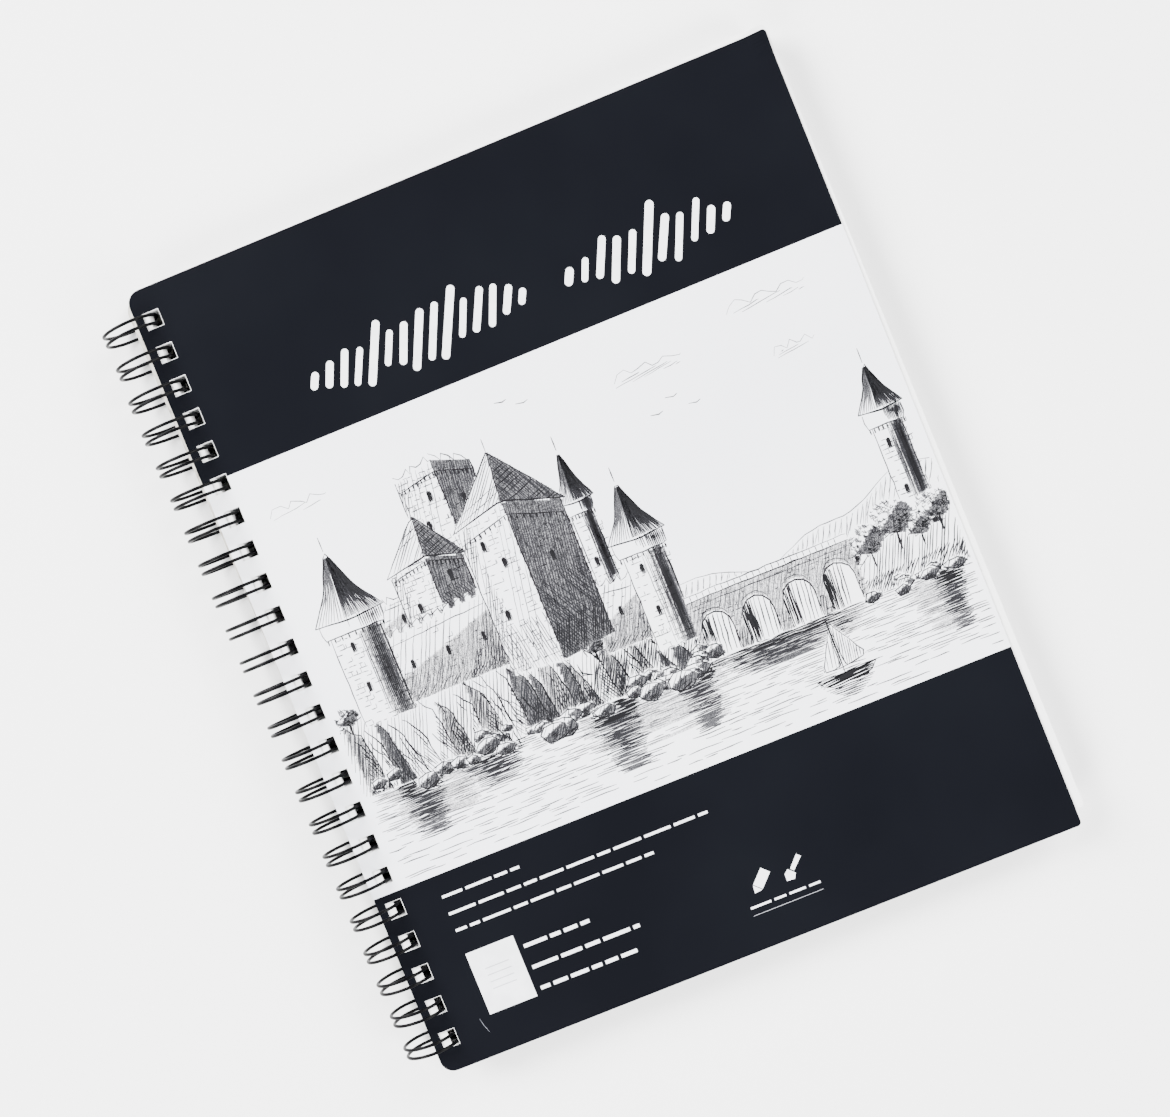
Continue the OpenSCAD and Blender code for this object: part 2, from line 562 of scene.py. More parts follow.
def wire_points():
    """The wire's middle line in the frame. Each loop has its own slight lean."""
    chance = random.Random(23)
    leans = [LEANS.get(i, 0.0) + chance.uniform(-0.1, 0.1) for i in range(HOLES)]
    points = []
    for angle, y, i in round_path(unrolled_path()):
        bulge = BULGES[i] if i < len(BULGES) else 0.0
        u = RING_R * math.cos(math.radians(angle))
        w = RING_R * math.sin(math.radians(angle))
        u *= 1.0 if u > 0 else 1.0 + bulge / RING_R
        lean = leans[i] * (0.5 - 0.5 * u / RING_R) - leans[i] * 0.5
        if abs(y - hole_middle(i)) > WIRE_GAP / 2 + 0.01:
            lean = 0.0
        points.append(place(u, y + lean, w))
    return points


def sweep(points, radius, sides):
    """A round tube along points, with flat ends."""
    verts, faces = [], []
    side = Vector((0.0, 0.0, 1.0))
    for k, point in enumerate(points):
        ahead = points[min(k + 1, len(points) - 1)] - points[max(k - 1, 0)]
        ahead.normalize()
        side = (side - ahead * side.dot(ahead)).normalized()
        other = ahead.cross(side)
        for n in range(sides):
            a = 2 * math.pi * n / sides
            verts.append(point + (side * math.cos(a) + other * math.sin(a)) * radius)
    for k in range(len(points) - 1):
        for n in range(sides):
            a, b = k * sides + n, k * sides + (n + 1) % sides
            faces.append([a, b, b + sides, a + sides])
    faces.append(list(reversed(range(sides))))
    faces.append(list(range((len(points) - 1) * sides, len(points) * sides)))
    return verts, faces


def make_wire():
    verts, faces = sweep(wire_points(), WIRE_R * MM, SIDES)
    wire = make_object("twin_loop_wire", verts, faces, [0] * len(faces), [nylon], smooth=True)
    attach(wire, "binding_wire")
    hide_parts("binding_wire")


# ---------- print on the cover
class Print:
    """Flat shapes of ink on the front cover, collected as one piece for each material. Points are x from
    the spine edge and down from the cover's head."""

    def __init__(self, name, material, lift):
        self.name, self.material, self.lift = name, material, lift
        self.verts, self.faces = [], []

    def put(self, x, down):
        self.verts.append(cover_put(x, COVER_H / 2 - down, FRONT_T + self.lift))
        return len(self.verts) - 1

    def area(self, outline):
        """A filled outline."""
        flat = [Vector((x, -down, 0.0)) for x, down in outline]
        index = [self.put(x, down) for x, down in outline]
        for triangle in tessellate_polygon([flat]):
            a, b, c = (flat[k] for k in triangle)
            turn = (b - a).cross(c - a).z
            order = triangle if turn > 0 else reversed(triangle)
            self.faces.append([index[k] for k in order])

    def ribbon(self, points, widths):
        """A band of ink along points, as wide at each as widths says."""
        pairs = []
        for k, (x, down) in enumerate(points):
            x0, d0 = points[max(k - 1, 0)]
            x1, d1 = points[min(k + 1, len(points) - 1)]
            length = math.hypot(x1 - x0, d1 - d0) or 1.0
            nx, nd = -(d1 - d0) / length, (x1 - x0) / length
            nx, nd = nx * widths[k] / 2, nd * widths[k] / 2
            pairs.append((self.put(x + nx, down + nd), self.put(x - nx, down - nd)))
        for (a, b), (c, d) in zip(pairs, pairs[1:]):
            self.faces.append([a, c, d, b])

    def bar(self, x0, x1, middle, height):
        self.area([(x0, middle + height / 2), (x1, middle + height / 2),
                   (x1, middle - height / 2), (x0, middle - height / 2)])

    def finish(self):
        piece = make_object(self.name, self.verts, self.faces, [0] * len(self.faces), [self.material])
        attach(piece, "front_cover")


def word_bars(ink, chance, x0, x1, middle, height):
    """A line of small print, as bars of a word's length."""
    x = x0
    while x < x1 - 2.0:
        end = min(x + chance.uniform(3.5, 11.0), x1)
        ink.bar(x, end, middle, height)
        x = end + 1.3


def broad_stroke(ink, x0, down0, x1, down1, width):
    """A straight stroke of a broad round pen."""
    heading = math.atan2(down1 - down0, x1 - x0)
    outline = []
    for x, down, start in ((x1, down1, heading - math.pi / 2), (x0, down0, heading + math.pi / 2)):
        for k in range(9):
            turn = start + math.pi * k / 8
            outline.append((x + width / 2 * math.cos(turn), down + width / 2 * math.sin(turn)))
    ink.area(outline)


def print_title(chance):
    """Where the cover has its title: two groups of slanted pen strokes, which stand for no letter."""
    ink = Print("brush_marks", white_ink, 0.012)
    for x0, x1, count in ((52.0, 132.0, 15), (150.0, 210.0, 11)):
        for k in range(count):
            x = x0 + (x1 - x0) * k / (count - 1)
            swell = math.sin(math.pi * (k + 0.5) / count)
            high = 53.0 - chance.uniform(4.0, 12.0) * swell
            low = 55.0 + chance.uniform(3.0, 9.0) * swell
            slant = chance.uniform(0.42, 0.5)
            broad_stroke(ink, x - slant * (low - 53.0), low, x + slant * (53.0 - high), high,
                         chance.uniform(2.3, 3.2))
    ink.finish()


def print_foot(chance):
    """The small print, the label, the size lines and two pictograms in the cover's black foot."""
    light = Print("foot_light_print", white_ink, 0.012)
    grey = Print("foot_grey_print", grey_ink, 0.012)
    for down, end in ((242.6, 53.4), (249.2, 123.6), (255.7, 100.2)):
        word_bars(light, chance, 23.4, end, down, 1.0)
    for down, end in ((270.0, 69.5), (278.2, 85.7), (286.3, 81.5)):
        word_bars(light, chance, 44.1, end, down, 1.35)
    light.area([(23.4, 288.5), (41.8, 288.5), (41.8, 264.8), (23.4, 264.8)])
    stack = Print("label_pictogram", grey_ink, 0.03)
    for k in range(4):
        stack.bar(28.0, 37.2, 272.4 + 2.6 * k, 0.35)
    stack.finish()
    pencil_sign(light, slanted(132.0, 279.3))
    brush_sign(light, slanted(144.4, 279.3))
    word_bars(light, chance, 125.0, 151.7, 287.5, 0.8)
    grey.bar(125.0, 151.7, 290.4, 0.12)
    light.finish()
    grey.finish()


SIGN_SIZE = 1.75


def slanted(x, down):
    """A sign's own slanting axes about (x, down), as a function of (along, across)."""
    along, across = Vector((0.70, -0.71)), Vector((0.71, 0.70))

    def at(a, b):
        point = (along * a + across * b * 1.7) * SIGN_SIZE
        return x + point.x, down + point.y

    return at


def pencil_sign(ink, at):
    ink.area([at(-1.4, -0.62), at(2.4, -0.62), at(2.4, 0.62), at(-1.4, 0.62)])
    ink.area([at(-1.6, -0.62), at(-1.6, 0.62), at(-2.9, 0.0)])


def brush_sign(ink, at):
    ink.area([at(-0.4, -0.25), at(2.9, -0.32), at(2.9, 0.32), at(-0.4, 0.25)])
    ink.area([at(-0.7, -0.55), at(-0.7, 0.55), at(-1.9, 0.75), at(-3.0, 0.0), at(-1.9, -0.6)])


def print_scuff():
    mark = Print("scuff_mark", scuff, 0.010)
    mark.ribbon([(19.2, 288.4), (19.8, 291.4), (20.9, 294.4)], [0.05, 0.16, 0.06])
    mark.finish()


# ---------- the pencil drawing
BAND_LEFT, BAND_RIGHT = 11.5, LEAF_W - 1.2
BAND_HEAD, BAND_FOOT = 74.2, 233.4
SHORE = 34.0
BRACKETS = 9


def within(outline, x, up):
    """Whether a point lies in an outline."""
    odd = False
    for (x0, u0), (x1, u1) in zip(outline, outline[1:] + outline[:1]):
        if (u0 > up) != (u1 > up) and x < x0 + (x1 - x0) * (up - u0) / (u1 - u0):
            odd = not odd
    return odd


class Sketch:
    """A pencil drawing in the cover's white band. Points are x from the spine edge and up from the band's
    foot. It is drawn from the front to the back: what is behind a mask is left out."""

    LIFTS = {"wash": 0.012, "shade": 0.018, "light": 0.024, "mid": 0.030, "dark": 0.036}
    SAMPLE = 0.8
    PRESS = 1.35

    def __init__(self, seed):
        self.chance = random.Random(seed)
        self.masks = []
        self.layers = {
            tone: Print("pencil_" + tone, GRAPHITE[tone], lift) for tone, lift in self.LIFTS.items()
        }

    def pick(self, low, high):
        return self.chance.uniform(low, high)

    def mask(self, outline):
        """Hides what is drawn later behind the outline."""
        xs, ups = [p[0] for p in outline], [p[1] for p in outline]
        self.masks.append((min(xs), max(xs), min(ups), max(ups), outline))

    def seen(self, x, up):
        if not (BAND_LEFT < x < BAND_RIGHT and 0.2 < up < BAND_FOOT - BAND_HEAD):
            return False
        return not any(
            x0 < x < x1 and u0 < up < u1 and within(outline, x, up) for x0, x1, u0, u1, outline in self.masks
        )

    def line(self, points, tone="mid", width=0.28, shake=0.1):
        """A hand-drawn line through points, thin at its ends and broken where something stands in front."""
        places = []
        for (x0, u0), (x1, u1) in zip(points, points[1:]):
            parts = max(1, round(math.hypot(x1 - x0, u1 - u0) / self.SAMPLE))
            places += [(x0 + (x1 - x0) * k / parts, u0 + (u1 - u0) * k / parts) for k in range(parts)]
        places.append(points[-1])
        run = []
        for place_ in places + [None]:
            if place_ and self.seen(*place_):
                run.append(place_)
            elif run:
                self.stroke(run, tone, width, shake)
                run = []

    def stroke(self, run, tone, width, shake):
        if len(run) < 2:
            return
        kept = run[:-1:4] + [run[-1]]
        if len(kept) == 2:
            kept.insert(1, ((kept[0][0] + kept[1][0]) / 2, (kept[0][1] + kept[1][1]) / 2))
        last = len(kept) - 1
        points, widths = [], []
        for k, (x, up) in enumerate(kept):
            points.append((x + self.chance.gauss(0, shake), BAND_FOOT - up - self.chance.gauss(0, shake)))
            ends = min(1.0, 0.45 + 1.5 * min(k, last - k) / last) if shake else 1.0
            widths.append(width * self.PRESS * ends * self.chance.uniform(0.75, 1.2))
        self.layers[tone].ribbon(points, widths)

    def hatch(self, outline, angle, gap, tone="light", width=0.22, skip=0.08, loose=0.2, shake=0.08):
        """Parallel strokes inside an outline, gap apart. skip is the share that is left out, and loose how
        far their ends run over or fall short."""
        c, s = math.cos(math.radians(angle)), math.sin(math.radians(angle))
        turned = [(x * c + u * s, u * c - x * s) for x, u in outline]
        level = min(v for _, v in turned) + gap / 2
        top = max(v for _, v in turned)
        while level < top:
            cuts = sorted(
                x0 + (x1 - x0) * (level - v0) / (v1 - v0)
                for (x0, v0), (x1, v1) in zip(turned, turned[1:] + turned[:1])
                if (v0 <= level) != (v1 <= level)
            )
            for a, b in zip(cuts[::2], cuts[1::2]):
                if b - a > 0.4 and self.chance.random() >= skip:
                    a += self.chance.uniform(-0.4, 1.0) * loose * min(4.0, b - a)
                    b += self.chance.uniform(-1.0, 0.4) * loose * min(4.0, b - a)
                    ends = [(a * c - level * s, a * s + level * c), (b * c - level * s, b * s + level * c)]
                    self.line(ends, tone, width * self.chance.uniform(0.7, 1.3), shake)
            level += gap * (self.chance.uniform(0.7, 1.3) if loose else 1.0)

    def fill(self, outline, tone="wash", angle=75):
        """An even tone inside an outline."""
        self.hatch(outline, angle, 0.8, tone, 1.0, 0.0, 0.0, 0.0)

    def finish(self):
        for layer in self.layers.values():
            layer.finish()


def box(x0, x1, low, high):
    return [(x0, low), (x1, low), (x1, high), (x0, high)]


def between(a, b, t):
    return a[0] + (b[0] - a[0]) * t, a[1] + (b[1] - a[1]) * t


def foot_of(outline, left, right):
    """The lower part of a four-sided outline, up to a share of its left side and of its right side."""
    return outline[:2] + [between(outline[1], outline[2], right), between(outline[0], outline[3], left)]


def battlements(pen, a, b, rise=2.4, tooth=2.1, tone="mid"):
    """The toothed top of a wall, from point a to point b. Returns its outline's points."""
    count = max(2, round(math.hypot(b[0] - a[0], b[1] - a[1]) / (2 * tooth)))
    points = []
    for k in range(2 * count):
        lift = rise if k % 2 == 0 else 0.0
        for t in (k / (2 * count), (k + 1) / (2 * count)):
            x, up = between(a, b, t)
            points.append((x, up + lift))
    pen.line(points, tone, 0.34, 0.04)
    return points


def stones(pen, outline, count, tone="light"):
    """Scattered marks that read as courses of stone."""
    xs, ups = [p[0] for p in outline], [p[1] for p in outline]
    for _ in range(count):
        x = pen.pick(min(xs), max(xs))
        up = min(ups) + round(pen.pick(0, max(ups) - min(ups)) / 1.7) * 1.7
        if within(outline, x, up):
            length = pen.pick(0.9, 2.4)
            pen.line([(x, up), (x + length, up + pen.pick(-0.1, 0.1))], tone, 0.26, 0.04)
            if pen.chance.random() < 0.35:
                pen.line([(x + length, up), (x + length, up + 1.5)], tone, 0.2, 0.03)


def window(pen, x, low, width, height):
    """A narrow window with a round head."""
    for k in range(4):
        at = x - width / 2 + width * (k + 0.5) / 4
        cap = math.sqrt(max(0.0, 0.25 - ((at - x) / width) ** 2)) * width
        pen.line([(at, low), (at, low + height + cap)], "dark", width / 3.4, 0.02)
    pen.line([(x + width / 2 + 0.3, low), (x + width / 2 + 0.3, low + height)], "light", 0.2, 0.03)


def face(pen, outline, tone, angle, windows=()):
    """One face of a square building, lit or in the shade."""
    if tone == "lit":
        pen.hatch(outline, angle, 2.2, "light", 0.2, 0.3)
        pen.hatch(foot_of(outline, 0.3, 0.3), angle + 20, 1.0, "light", 0.28, 0.15)
        edge = [outline[0], between(*outline[:2], 0.35), between(outline[3], outline[2], 0.22), outline[3]]
        pen.hatch(edge, angle - 8, 0.9, "light", 0.26, 0.15)
        stones(pen, outline, 130)
        stones(pen, outline, 50, "mid")
    else:
        pen.fill(outline, "shade")
        pen.hatch(outline, angle, 0.9, "mid", 0.32, 0.1)
        pen.hatch(foot_of(outline, 0.45, 0.55), angle + 35, 0.95, "mid", 0.34, 0.1)
        pen.hatch(foot_of(outline, 0.2, 0.28), angle - 15, 0.8, "dark", 0.34, 0.15)
        stones(pen, outline, 36, "dark")
    for x, low in windows:
        window(pen, x, low, 1.5, 3.4)


def square_tower(pen, x0, corner, x1, low, high, drop, roof=0.0, windows=()):
    """A square tower seen on its corner: the left face is lit and the right one is in the shade."""
    left = [(x0, low + 1.5), (corner, low), (corner, high), (x0, high - drop * 0.7)]
    right = [(corner, low), (x1, low + 2.5), (x1, high - drop), (corner, high)]
    if roof:
        eaves = [(x0 - 1.6, high - drop * 0.7 - 0.4), (corner, high - 1.0), (x1 + 1.8, high - drop - 0.4)]
        peak = (corner + (x1 - x0) * 0.04, high + roof)
        lit, dark = [eaves[0], eaves[1], peak], [eaves[1], eaves[2], peak]
        pen.hatch(lit, 52, 0.9, "light", 0.28, 0.1)
        pen.hatch(lit, 20, 1.8, "mid", 0.24, 0.3)
        pen.fill(dark, "shade")
        pen.hatch(dark, 118, 0.75, "mid", 0.36, 0.05)
        pen.hatch(dark, 20, 1.3, "dark", 0.34, 0.1)
        pen.line([eaves[0], peak, eaves[2]], "dark", 0.36)
        pen.line([peak, eaves[1]], "dark", 0.34)
        pen.line(eaves, "dark", 0.5, 0.06)
        pen.line([peak, (peak[0], peak[1] + 5)], "mid", 0.28, 0.03)
        pen.mask(lit)
        pen.mask(dark)
    else:
        battlements(pen, left[3], left[2])
        battlements(pen, right[3], right[2], tone="dark")
    corbels(pen, left, right)
    face(pen, left, "lit", 80, windows)
    face(pen, right, "dark", 84, ((corner + (x1 - corner) * 0.5, low + (high - low) * 0.55),))
    pen.line([left[3], left[0]], "mid", 0.34)
    pen.line([(corner, high), (corner, low)], "dark", 0.4)
    pen.line([right[2], right[1]], "dark", 0.42)
    pen.mask(left)
    pen.mask(right)


def corbels(pen, left, right):
    """The row of little brackets under a tower's head, drawn along both faces."""
    for outline, tone in ((left, "mid"), (right, "dark")):
        a, b = between(outline[3], outline[0], 0.1), between(outline[2], outline[1], 0.1)
        pen.line([a, b], tone, 0.34, 0.05)
        for k in range(BRACKETS):
            x, up = between(a, b, (k + 0.5) / BRACKETS)
            pen.line([(x, up), (x, up - 1.7)], tone, 0.5, 0.03)


def round_shade(pen, x, width, low, high, steps=30):
    """The shading of an upright round wall: upright strokes that thicken towards the right."""
    for k in range(steps):
        t = (k + 0.5) / steps
        at = x + width * (t - 0.5)
        dark = max(0.0, 1.0 - abs(t - 0.82) / 0.42)
        for tone, need in (("light", 0.05), ("mid", 0.35), ("dark", 0.78)):
            if dark > need and pen.chance.random() < 0.35 + dark * 0.65:
                top = high - pen.pick(0, 2.5) * (1 - dark)
                foot = low + pen.pick(0, 5.0) * (1 - dark)
                pen.line([(at, foot), (at, top)], tone, 0.2 + 0.22 * dark, 0.07)


def round_tower(pen, x, width, low, high, roof=0.0, windows=2):
    """A round tower with a wider head, and a cone for a roof if roof is above 0."""
    over, neck = width * 0.1 + 0.6, min(7.0, (high - low) * 0.16)
    head = box(x - width / 2 - over, x + width / 2 + over, high - neck, high)
    if roof:
        eaves = width / 2 + over + 1.2
        cone = [(x - eaves, high - 0.8), (x - eaves * 0.45, high + roof * 0.38), (x, high + roof),
                (x + eaves * 0.45, high + roof * 0.38), (x + eaves, high - 0.8)]
        for k in range(64):
            t = (k + 0.5) / 64
            foot = (x - eaves + 2 * eaves * t, high - 0.8)
            bend = (x + (foot[0] - x) * 0.45, high + roof * 0.38)
            tone = "light" if t < 0.42 else "mid" if t < 0.72 or k % 3 else "dark"
            if t > 0.42 or k % 3 == 0:
                pen.line([foot, bend, (x + (foot[0] - x) * 0.08, high + roof * 0.9)], tone, 0.34, 0.08)
        pen.line(cone, "dark", 0.36)
        pen.line([cone[0], (x, high - 1.9), cone[4]], "dark", 0.5, 0.05)
        pen.line([(x, high + roof), (x, high + roof + 5.5)], "mid", 0.3, 0.03)
        pen.mask(cone)
    else:
        battlements(pen, head[3], head[2])
    round_shade(pen, x, width + 2 * over, high - neck, high)
    pen.line([head[3], head[0], head[1], head[2]], "mid", 0.36)
    for k in range(BRACKETS):
        at = head[0][0] + (head[1][0] - head[0][0]) * (k + 0.5) / BRACKETS
        pen.line([(at, high - neck), (at, high - neck - 1.8)], "dark" if k > 4 else "mid", 0.5, 0.03)
    pen.mask(head)
    body = box(x - width / 2, x + width / 2, low, high - neck)
    for k in range(windows):
        window(pen, x - width * 0.15, low + (high - low) * (0.28 + 0.38 * k / max(1, windows - 1)), 1.4, 3.2)
    round_shade(pen, x, width, low, high - neck)
    pen.fill(box(x + width * 0.1, x + width * 0.5, low, high - neck))
    pen.fill(box(x + width * 0.24, x + width * 0.44, low, high - neck), "shade")
    stones(pen, body, int(width * (high - low) / 7))
    stones(pen, body, int(width * (high - low) / 18), "mid")
    shaded = box(x + width * 0.15, x + width / 2, low, high - neck)
    stones(pen, shaded, int(width * (high - low) / 30), "dark")
    pen.line([body[0], body[3]], "mid", 0.32)
    pen.line([body[1], body[2]], "dark", 0.42)
    pen.mask(body)


def wall(pen, x0, x1, low, high, slope=0.0, windows=0):
    """A curtain wall with a toothed top, lit from the left and darker towards its foot."""
    outline = [(x0, low), (x1, low), (x1, high - slope), (x0, high)]
    top = battlements(pen, outline[3], outline[2])
    pen.fill(foot_of(outline, 0.35, 0.8))
    pen.hatch(outline, 66, 1.5, "light", 0.24, 0.2)
    pen.hatch(box(x0, x1, low, low + (high - low) * 0.45), 60, 1.1, "light", 0.26, 0.15)
    pen.hatch([(x0 + (x1 - x0) * 0.6, low), (x1, low), (x1, high - slope)], 72, 0.9, "mid", 0.3, 0.15)
    pen.hatch(box(x0, x1, low, low + 3.5), 40, 0.9, "mid", 0.3, 0.15)
    stones(pen, outline, int((x1 - x0) * (high - low) / 18), "mid")
    pen.line([between(outline[3], outline[0], 0.12), between(outline[2], outline[1], 0.12)], "mid", 0.3)
    for k in range(windows):
        window(pen, x0 + (x1 - x0) * (k + 0.5) / windows, low + (high - low) * 0.45, 1.3, 3.0)
    pen.mask([outline[0], outline[1]] + top[::-1])


def bridge(pen, x0, x1, deck, arches):
    """A stone bridge with round arches, dark under the vaults."""
    step = (x1 - x0) / arches
    for k in range(arches):
        middle, radius = x0 + (k + 0.5) * step, step * 0.37
        crown = deck - 6.0 - radius
        arc = [(middle + radius * math.cos(t), crown + radius * math.sin(t))
               for t in (math.radians(15 * n) for n in range(13))]
        vault = [(middle + radius, SHORE)] + arc + [(middle - radius, SHORE)]
        pen.hatch([vault[-1], (middle - radius * 0.3, SHORE), (middle - radius * 0.3, crown + radius * 0.9),
                   arc[8], arc[10], arc[12]], 88, 0.55, "dark", 0.42, 0.02)
        pen.hatch(vault, 84, 1.5, "mid", 0.34, 0.2)
        pen.line(vault, "dark", 0.45)
        pen.line([(p[0], p[1] + 1.6) for p in arc[1:-1]], "mid", 0.28)
        pen.mask(vault)
    body = box(x0, x1, SHORE, deck)
    pen.fill(body)
    pen.hatch(body, 62, 1.4, "light", 0.26, 0.15)
    pen.hatch(box(x0, x1, SHORE, SHORE + 7), 75, 0.9, "mid", 0.32, 0.1)
    stones(pen, body, 130, "mid")
    pen.line([(x0, deck), (x1, deck)], "dark", 0.42)
    pen.line([(x0, deck - 2.0), (x1, deck - 2.0)], "mid", 0.3)
    pen.line([(x0, deck + 2.2), (x1, deck + 2.2)], "mid", 0.32)
    for k in range(int((x1 - x0) / 2.4)):
        pen.line([(x0 + 2.4 * k, deck), (x0 + 2.4 * k, deck + 2.2)], "mid", 0.24, 0.03)
    pen.mask(box(x0, x1, SHORE, deck + 2.2))


def rocks(pen, x0, x1, low, high, count, big=5.5):
    """Tumbled rocks, lit from the left, the nearest drawn first."""
    spots = sorted((pen.pick(0, 1) ** 1.3, pen.pick(x0, x1)) for _ in range(count))
    for depth, x in spots:
        size = pen.pick(2.4, big) * (1.0 - 0.3 * depth)
        up = low + depth * (high - low)
        ring = [(x + size * pen.pick(0.8, 1.2) * math.cos(a),
                 up + size * 0.66 * pen.pick(0.75, 1.2) * math.sin(a))
                for a in (math.radians(40 * k) for k in range(9))]
        ridge = (x - size * 0.1, up + size * 0.15)
        dark = [ridge] + [ring[k] for k in (5, 6, 7, 8, 0, 1)]
        pen.fill(dark, "shade")
        pen.hatch(dark, 58, 0.7, "mid", 0.36, 0.05)
        pen.hatch([ridge, ring[6], ring[7], ring[8]], 20, 0.6, "dark", 0.36, 0.1)
        pen.hatch(ring, 50, 1.8, "light", 0.22, 0.3)
        pen.line(ring + ring[:1], "dark", 0.38, 0.1)
        pen.line([ring[2], ridge, ring[6]], "mid", 0.28, 0.1)
        pen.mask(ring)


def scribble(pen, x, up, wide, tall, turns, tone, width=0.3):
    """Foliage: a looping scribble."""
    points = []
    for k in range(turns * 6):
        spread = 0.3 + 0.7 * pen.chance.random()
        points.append((x + wide * spread * math.cos(k * 1.05), up + tall * spread * math.sin(k * 1.05)))
    pen.line(points, tone, width, 0.15)


def tree(pen, x, low, size):
    """A round tree: dark under the leaves on the right, and a short trunk."""
    crown = [(x + size * (0.5 + 0.05 * math.cos(5 * a)) * math.cos(a),
              low + size * 0.72 + size * (0.42 + 0.04 * math.sin(4 * a)) * math.sin(a))
             for a in (math.radians(20 * k) for k in range(18))]
    pen.fill([crown[k] for k in (11, 12, 13, 14, 15, 16, 17, 0, 1, 2)], "shade")
    for _ in range(int(size * 7)):
        turn, far = pen.pick(0, 6.28), math.sqrt(pen.chance.random())
        at, up = x + size * 0.5 * far * math.cos(turn), low + size * (0.72 + 0.42 * far * math.sin(turn))
        shaded = (at - x) / size - (up - low) / size + 0.72
        tone = "dark" if shaded > 0.22 else "mid" if shaded > -0.2 else "light"
        scribble(pen, at, up, 1.1, 0.8, 2, tone, 0.3)
    pen.line([(x, low - size * 0.1), (x + 0.2, low + size * 0.35)], "dark", 0.7)
    pen.mask(crown)


def headland(pen):
    """The rock that the castle stands on, in jagged facets."""
    crest = [(11, 60), (30, 64), (52, 66), (80, 60), (100, 58), (124, 54), (140, 48), (150, 38)]
    outline = crest + [(152, SHORE), (11, SHORE)]
    x = 14.0
    while x < 146.0:
        wide = pen.pick(4.5, 9.0)
        top = 59.0 - max(0.0, x - 70) * 0.17 + pen.pick(-4, 3)
        lean = pen.pick(1.0, 4.0)
        facet = [(x, SHORE), (x + wide, SHORE), (x + wide - lean, top - 6), (x + wide * 0.4 - lean, top)]
        if pen.chance.random() < 0.65:
            pen.fill(facet, "shade" if pen.chance.random() < 0.4 else "wash")
            pen.hatch(facet, pen.pick(55, 80), 0.8, "mid", 0.34, 0.08)
            pen.hatch([facet[0], facet[1], between(facet[1], facet[2], 0.6)], 74, 0.8, "dark", 0.3, 0.15)
        pen.hatch(facet[:3], pen.pick(95, 125), 1.0, "mid", 0.32, 0.1)
        pen.line([facet[1], facet[2], facet[3]], "dark", 0.4, 0.25)
        x += wide * 0.8
    pen.hatch(outline, 70, 1.3, "light", 0.28, 0.1)
    pen.hatch([(96, SHORE), (152, SHORE), (140, 48), (112, 55)], 62, 0.9, "mid", 0.36, 0.08)
    for _ in range(60):
        at, up = pen.pick(13, 144), pen.pick(36, 60)
        pen.line([(at, up), (at + pen.pick(0.5, 2), up - pen.pick(2, 5)),
                  (at + pen.pick(1, 4), up - pen.pick(4, 8))], "dark", 0.36, 0.15)
    pen.line(crest, "mid", 0.36, 0.25)
    pen.mask(outline)


def castle(pen):
    """Own design, from the nearest part to the farthest."""
    round_tower(pen, 31, 19, 58, 98, 24.0, 2)
    square_tower(pen, 78, 97, 117, 54, 116, 8.0, 17.0, ((84, 74), (90, 92), (85, 100)))
    round_tower(pen, 137, 15, 44, 86, 20.0, 2)
    wall(pen, 39, 80, 60, 84, -3.0, 3)
    wall(pen, 112, 132, 50, 74, 2.0, 1)
    square_tower(pen, 50, 64, 77, 80, 108, 5.0, 14.0, ((56, 88),))
    round_tower(pen, 122, 8, 70, 106, 18.0, 1)
    square_tower(pen, 64, 79, 92, 96, 138, 5.0, 0.0, ((70, 114), (74, 124)))
    wall(pen, 34, 54, 80, 96, 0.0, 2)


def far_bank(pen):
    """The wooded bank and a lone watch tower at the right."""
    for x, low, size in ((212, 44, 13), (223, 47, 15), (203, 42, 9), (239, 48, 12), (231, 45, 10)):
        tree(pen, x, low, size)
    round_tower(pen, 234, 11, 50, 96, 16.0, 2)
    bank = [(196, SHORE), (BAND_RIGHT, SHORE), (BAND_RIGHT, 54), (228, 55), (212, 49), (200, 40)]
    pen.hatch(bank, 66, 1.0, "mid", 0.3, 0.15)
    pen.hatch(bank[:2] + [(BAND_RIGHT, 42), (206, 40)], 50, 0.8, "mid", 0.36, 0.1)
    pen.line(bank[2:], "dark", 0.34, 0.2)
    pen.mask(bank)


def hills(pen):
    """Far ridges, drawn in light strokes."""
    for height, start, swing in ((52.0, 138.0, 5.0), (66.0, 134.0, 7.0), (60.0, 8.0, 4.0)):
        ridge = [(x, height + swing * math.sin(x * 0.045 + height) + 1.8 * math.sin(x * 0.17))
                 for x in (start + (BAND_RIGHT - start) * k / 50 for k in range(51))]
        pen.line(ridge, "light", 0.28)
        for x, up in ridge:
            pen.line([(x, up - 0.8), (x - 5, up - 8 - pen.pick(0, 5))], "light", 0.2)
            pen.line([(x + 2, up - 0.8), (x - 1, up - 6 - pen.pick(0, 4))], "light", 0.2)
        pen.mask(ridge + [(BAND_RIGHT, SHORE), (start, SHORE)])


def sky(pen):
    for x, up, wide in ((150, 138, 26), (196, 146, 30), (206, 126, 16), (18, 140, 22)):
        top = [(x + wide * t, up + 4.0 * abs(math.sin(3.2 * math.pi * t)) * (1 - t * 0.3))
               for t in (k / 24 for k in range(25))]
        pen.line(top, "light", 0.22, 0.1)
        base = [(x, up - 1.5), (x + wide, up - 1.5), (x + wide * 0.8, up + 0.8), (x + wide * 0.2, up + 0.8)]
        pen.hatch(base, 8, 0.9, "light", 0.18, 0.3)
    for x, up in ((160, 122), (167, 126), (174, 121), (110, 147), (117, 144)):
        left_wing = [(x - 2.2, up + 0.9), (x - 0.6, up + 0.2), (x, up - 0.4)]
        pen.line(left_wing + [(x + 0.7, up + 0.3), (x + 2.4, up + 0.8)], "mid", 0.3, 0.04)


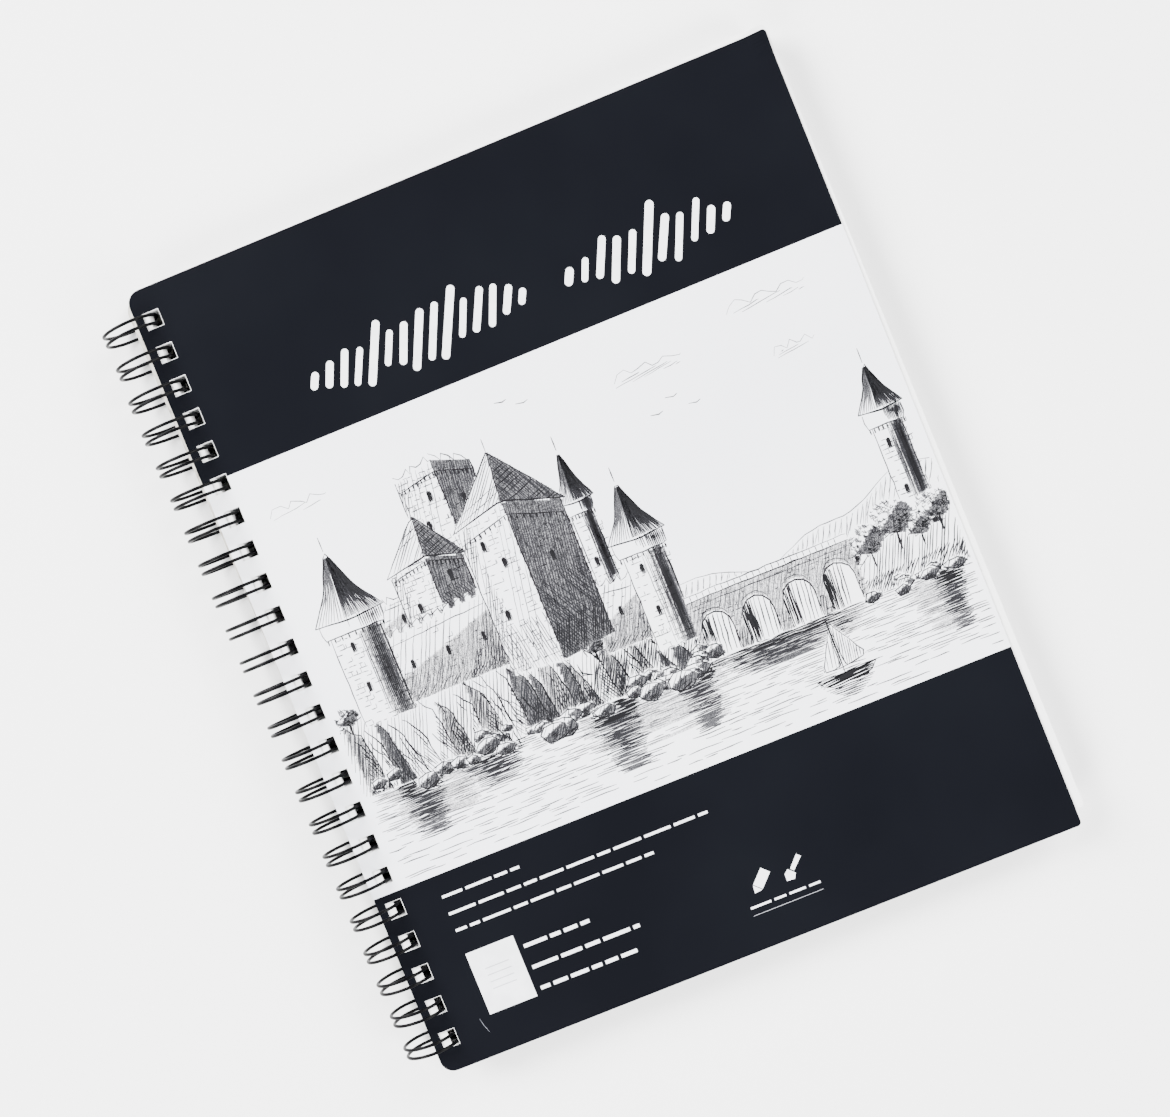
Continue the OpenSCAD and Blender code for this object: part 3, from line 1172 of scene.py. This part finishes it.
def water(pen):
    """Level strokes, closer under the shore, and the reflections of the dark masses."""
    for x, wide, reach in (
        (31, 18, 20), (60, 24, 12), (106, 20, 25), (137, 15, 22), (173, 60, 9), (234, 12, 22),
    ):
        drop = 0.0
        while drop < reach:
            shift = pen.pick(-1.5, 1.5)
            half = wide / 2 * (1 - 0.45 * drop / reach)
            tone = "dark" if drop < reach * 0.25 else "mid" if drop < reach * 0.7 else "light"
            ends = [(x - half + shift, SHORE - 1 - drop), (x + half + shift, SHORE - 0.8 - drop)]
            pen.line(ends, tone, 0.42, 0.12)
            drop += pen.pick(0.35, 0.75)
    up = SHORE - 0.5
    while up > 1.0:
        x = BAND_LEFT + pen.pick(0, 6)
        busy = 0.3 + 0.7 * up / SHORE
        while x < BAND_RIGHT - 3:
            length = pen.pick(3, 15)
            if pen.chance.random() < busy:
                tone = "mid" if pen.chance.random() < 0.4 * busy else "light"
                middle = (x + length * 0.5, up + pen.pick(-0.3, 0.3))
                pen.line([(x, up), middle, (x + length, up)], tone, 0.28, 0.06)
            x += length + pen.pick(0.5, 7)
        up -= 0.8
    for x0, x1, low, high in ((16, 56, 18, 33), (90, 150, 14, 33), (150, 204, 25, 33), (216, 240, 12, 33)):
        pen.hatch([(x0 + 6, low), (x1 - 6, low), (x1, high), (x0, high)], 2, 0.8, "wash", 0.75, 0.1, 0.7)


def boat(pen, x, up):
    """A small boat with a sail, and its reflection."""
    hull = [(x - 11, up + 3.2), (x + 11.5, up + 3.6), (x + 8, up), (x - 8, up)]
    sail = [(x + 0.6, up + 22), (x + 9.5, up + 7), (x + 0.6, up + 5.4)]
    jib = [(x - 0.8, up + 19), (x - 0.8, up + 5.6), (x - 7.5, up + 5.6)]
    pen.hatch(hull, 4, 0.55, "dark", 0.5, 0.02)
    pen.line(hull + hull[:1], "dark", 0.42)
    pen.line([(x - 0.2, up + 3.2), (x, up + 23)], "dark", 0.45, 0.04)
    for outline, gap in ((sail, 0.9), (jib, 1.3)):
        pen.hatch(outline, 80, gap, "light", 0.26)
        pen.line(outline + outline[:1], "mid", 0.32)
        pen.mask(outline)
    for k in range(7):
        pen.line([(x - 9 + k, up - 0.8 - 0.7 * k), (x + 9 - k, up - 0.9 - 0.7 * k)], "mid", 0.36)
    pen.mask(hull)


def draw_sketch():
    pen = Sketch(41)
    boat(pen, 188, 9)
    rocks(pen, 14, 150, 31, 40, 40)
    rocks(pen, 206, 242, 32, 37, 12, 4.0)
    bridge(pen, 144, 206, 56, 4)
    castle(pen)
    for x, low, size in ((108, 50, 7), (50, 60, 7), (60, 59, 5), (16, 58, 8)):
        tree(pen, x, low, size)
    headland(pen)
    far_bank(pen)
    hills(pen)
    sky(pen)
    water(pen)
    pen.finish()


# ---------- build
def add_floor():
    half = 3.0
    verts = [(-half, -half, 0), (half, -half, 0), (half, half, 0), (-half, half, 0)]
    make_object("floor", verts, [[0, 1, 2, 3]], [0], [studio_floor])


add_camera()
add_world(0.06)
add_light("key", (-1.3, 1.3, 1.35), 1.3, 225.0)
add_light("left_fill", (-1.5, -1.2, 1.3), 1.3, 130.0)
add_light("right_fill", (1.7, 1.0, 1.3), 1.3, 130.0)
add_light("front_fill", (1.4, -1.6, 1.35), 1.3, 130.0)
add_floor()

make_back_board()
make_block()
make_front_cover()
make_wire()
# Each sheet group's tear lines, as grey dashes of painted shade on its first and last sheet.
for body, first, last in (
    ("first_sheet", 1, 1), ("upper_sheets", 2, 34), ("middle_sheets", 35, 67), ("lower_sheets", 68, 100),
):
    name = "tear_line_" + body.split("_")[0]
    make_tear_line_shade(name + "_front", body, first, True)
    make_tear_line_shade(name + "_back", body, last, False)
marks = random.Random(11)
print_title(marks)
print_foot(marks)
print_scuff()
draw_sketch()
